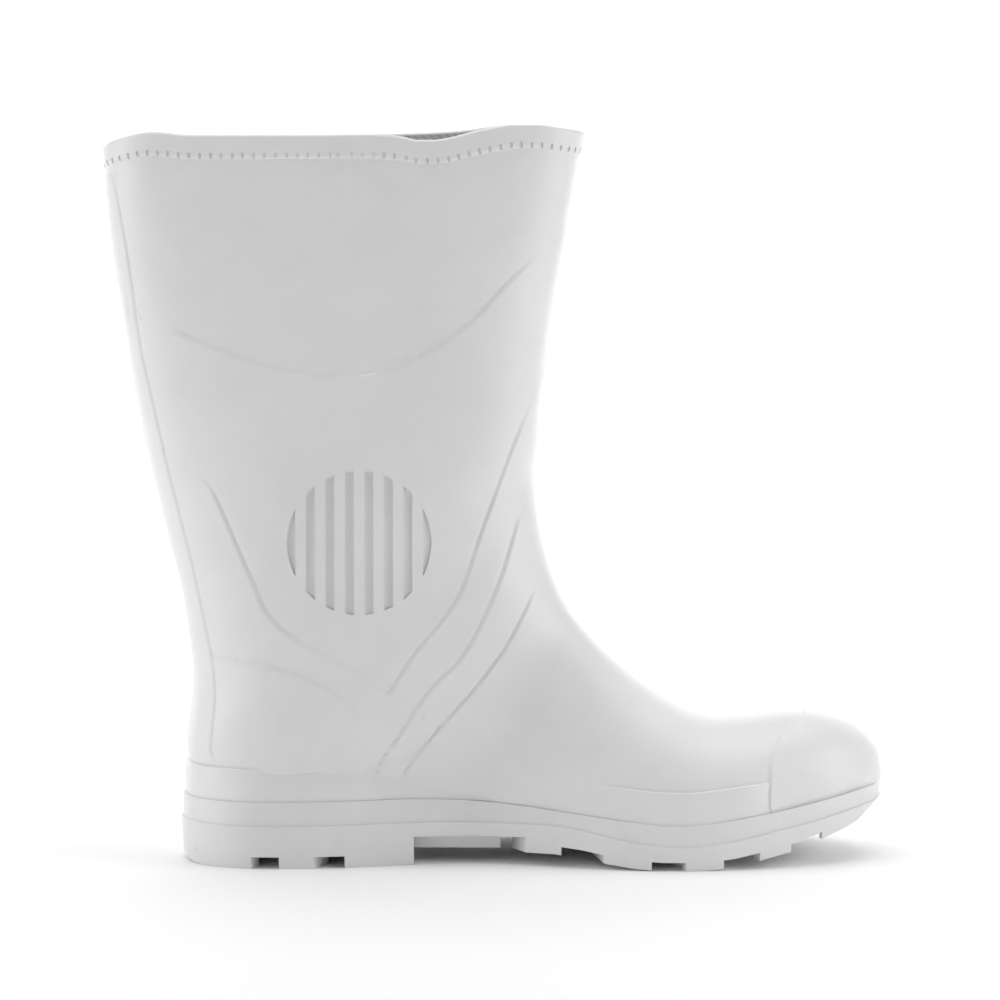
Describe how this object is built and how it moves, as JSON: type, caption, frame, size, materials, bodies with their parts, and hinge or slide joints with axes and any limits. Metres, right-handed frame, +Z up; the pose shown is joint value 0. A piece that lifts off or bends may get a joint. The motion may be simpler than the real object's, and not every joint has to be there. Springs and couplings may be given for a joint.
{
  "type": "waterproof boot",
  "caption": "Calf-length moulded waterproof boot, left foot, with a hollow shaft, chevron-lugged sole, side steps, hem band and ribbed ankle disc.",
  "frame": {"origin": "on the floor under the middle of the whole boot's length and width", "axes": "+X to the toe, +Z up the shaft, +Y to the lateral side, -Y to the medial side"},
  "size_m": [0.331, 0.1136, 0.3092],
  "materials": {
    "upper": "soft satin white moulding",
    "outsole": "satin white moulding",
    "insole": "matt felt",
    "heel_plug": "matt"
  },
  "bodies": {
    "root": {"upper": "upper", "outsole": "outsole", "insole": "insole", "heel_plug": "heel_plug"}
  },
  "joints": []
}
